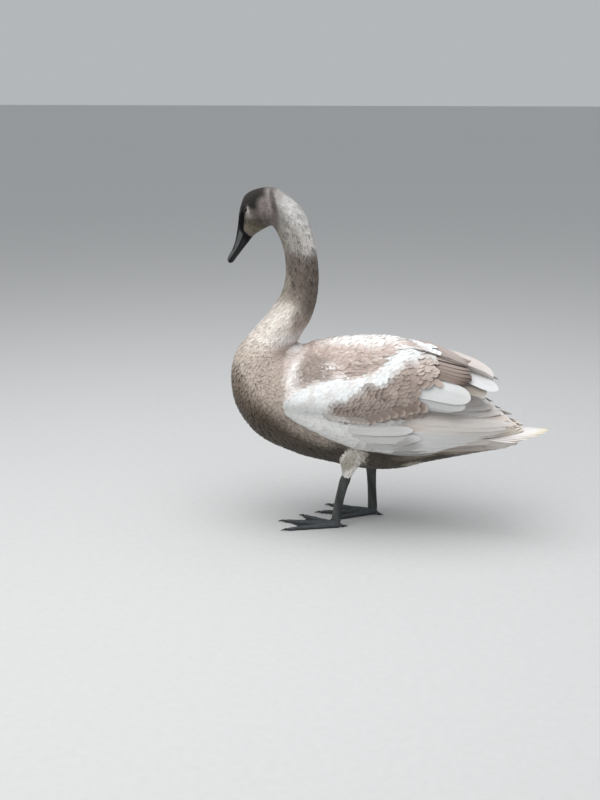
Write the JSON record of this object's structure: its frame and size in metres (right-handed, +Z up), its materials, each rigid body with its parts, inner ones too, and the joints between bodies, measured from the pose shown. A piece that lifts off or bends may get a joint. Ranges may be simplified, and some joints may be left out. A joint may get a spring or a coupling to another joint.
{
  "type": "young mute swan",
  "caption": "Still, life-size young mute swan, standing on webbed feet with its neck in a raised curve, dark bill lowered and wings folded.",
  "frame": {"origin": "on the floor, under the middle of the bounding box", "axes": "+Z up; the bird faces -Y; +X is its left side"},
  "size_m": [0.2744, 0.7632, 0.7941],
  "materials": {
    "head_down": "short, soft, sooty brown feathers",
    "neck_down": "short, soft, mottled grey-brown feathers",
    "body_down": "soft brown contour feathers",
    "coverts": "overlapping white and brown covert feathers",
    "quills": "smooth pale grey flight feathers",
    "tail_quills": "smooth off-white tail feathers",
    "bill_horn": "satin slate-grey and black horny skin",
    "eye": "wet dark eye",
    "leg_skin": "dull slate scaly skin",
    "claw": "dull black horn"
  },
  "bodies": {
    "root": {"bill_upper": "bill_horn", "bill_lower": "bill_horn", "head": "head_down", "eye_left": "eye", "eye_right": "eye", "neck_upper": "neck_down", "neck_middle": "neck_down", "neck_lower": "neck_down", "trunk": "body_down", "tail": "tail_quills", "wing_left_arm": "coverts", "wing_left_tertials": "quills", "wing_left_hand": "quills", "thigh_left": "body_down", "shank_left": "leg_skin", "foot_left": "leg_skin", "claw_left_inner": "claw", "claw_left_middle": "claw", "claw_left_outer": "claw", "claw_left_hind": "claw", "wing_right_arm": "coverts", "wing_right_tertials": "quills", "wing_right_hand": "quills", "thigh_right": "body_down", "shank_right": "leg_skin", "foot_right": "leg_skin", "claw_right_inner": "claw", "claw_right_middle": "claw", "claw_right_outer": "claw", "claw_right_hind": "claw"}
  },
  "joints": []
}
